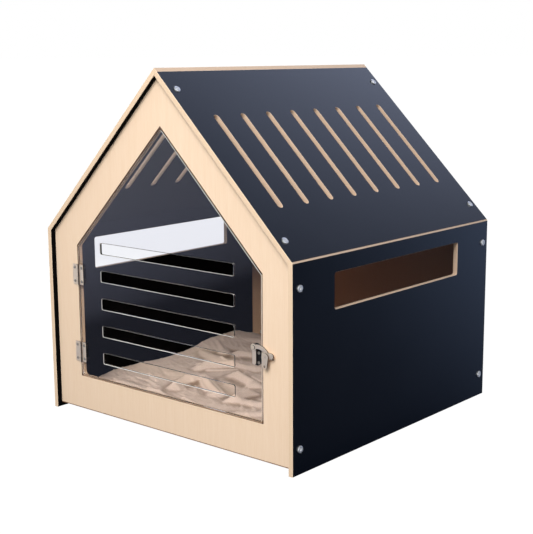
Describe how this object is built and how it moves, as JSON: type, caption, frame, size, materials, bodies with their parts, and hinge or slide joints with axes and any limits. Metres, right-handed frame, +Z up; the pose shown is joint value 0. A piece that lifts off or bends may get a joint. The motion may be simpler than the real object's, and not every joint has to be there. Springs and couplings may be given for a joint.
{
  "type": "dog crate",
  "caption": "House-shaped plywood pet crate with a gable roof, side windows, vent slots, a hinged clear door with a swinging latch, and a blanket on the floor.",
  "frame": {"origin": "on the floor under the middle of the crate", "axes": "+Z up, the door faces -Y, +X to the right when seen from the front"},
  "size_m": [0.6048, 0.604, 0.652],
  "materials": {
    "dark_laminate": "plywood faced with smooth dark laminate, satin",
    "birch_plywood": "sanded and lacquered, matt",
    "pine_batten": "planed",
    "clear_acrylic": "clear cast sheet with polished edges",
    "chromed_steel": "polished chrome",
    "zinc_plated_steel": "zinc plated",
    "nickel_plated_bolt": "nickel plated",
    "blanket_cloth": "soft short-pile cloth"
  },
  "bodies": {
    "house": {"left_wall": "dark_laminate", "right_wall": "dark_laminate", "left_roof": "dark_laminate", "right_roof": "dark_laminate", "front_frame": "birch_plywood", "back_panel": "birch_plywood", "floor_panel": "birch_plywood", "floor_cleat_left": "pine_batten", "floor_cleat_right": "pine_batten", "cleat_screws": "zinc_plated_steel", "wall_bolts_left": "nickel_plated_bolt", "wall_bolts_right": "nickel_plated_bolt", "roof_bolts_left": "nickel_plated_bolt", "roof_bolts_right": "nickel_plated_bolt", "barrel_nuts_front": "zinc_plated_steel", "barrel_nuts_back": "zinc_plated_steel", "upper_hinge_frame_leaf": "chromed_steel", "lower_hinge_frame_leaf": "chromed_steel", "upper_hinge_pin": "chromed_steel", "lower_hinge_pin": "chromed_steel", "hinge_wood_screws": "zinc_plated_steel", "keeper_plate": "chromed_steel", "keeper_screws": "zinc_plated_steel", "keeper_post": "chromed_steel", "blanket": "blanket_cloth"},
    "door": {"door_panel": "clear_acrylic", "upper_hinge_door_leaf": "chromed_steel", "lower_hinge_door_leaf": "chromed_steel", "hinge_machine_screws": "zinc_plated_steel", "hinge_nuts": "zinc_plated_steel", "latch_base": "chromed_steel", "latch_base_screws": "zinc_plated_steel", "latch_base_nuts": "zinc_plated_steel", "latch_arm_rivet": "chromed_steel"},
    "latch_arm": {"latch_arm": "chromed_steel"},
    "turn_button": {"turn_button": "chromed_steel"}
  },
  "joints": [
    {"name": "door_swing", "type": "hinge", "parent": "house", "child": "door", "pos_m": [-0.227, -0.2932, 0.195], "axis": [0, 0, -1], "range_deg": [0, 165]},
    {"name": "latch_arm_swing", "type": "hinge", "parent": "door", "child": "latch_arm", "pos_m": [0.214, -0.2971, 0.2025], "axis": [0, -1, 0], "range_deg": [0, 100]},
    {"name": "turn_button_swing", "type": "hinge", "parent": "house", "child": "turn_button", "pos_m": [0.24, -0.2994, 0.19], "axis": [0, -1, 0], "range_deg": [-100, 100]}
  ]
}
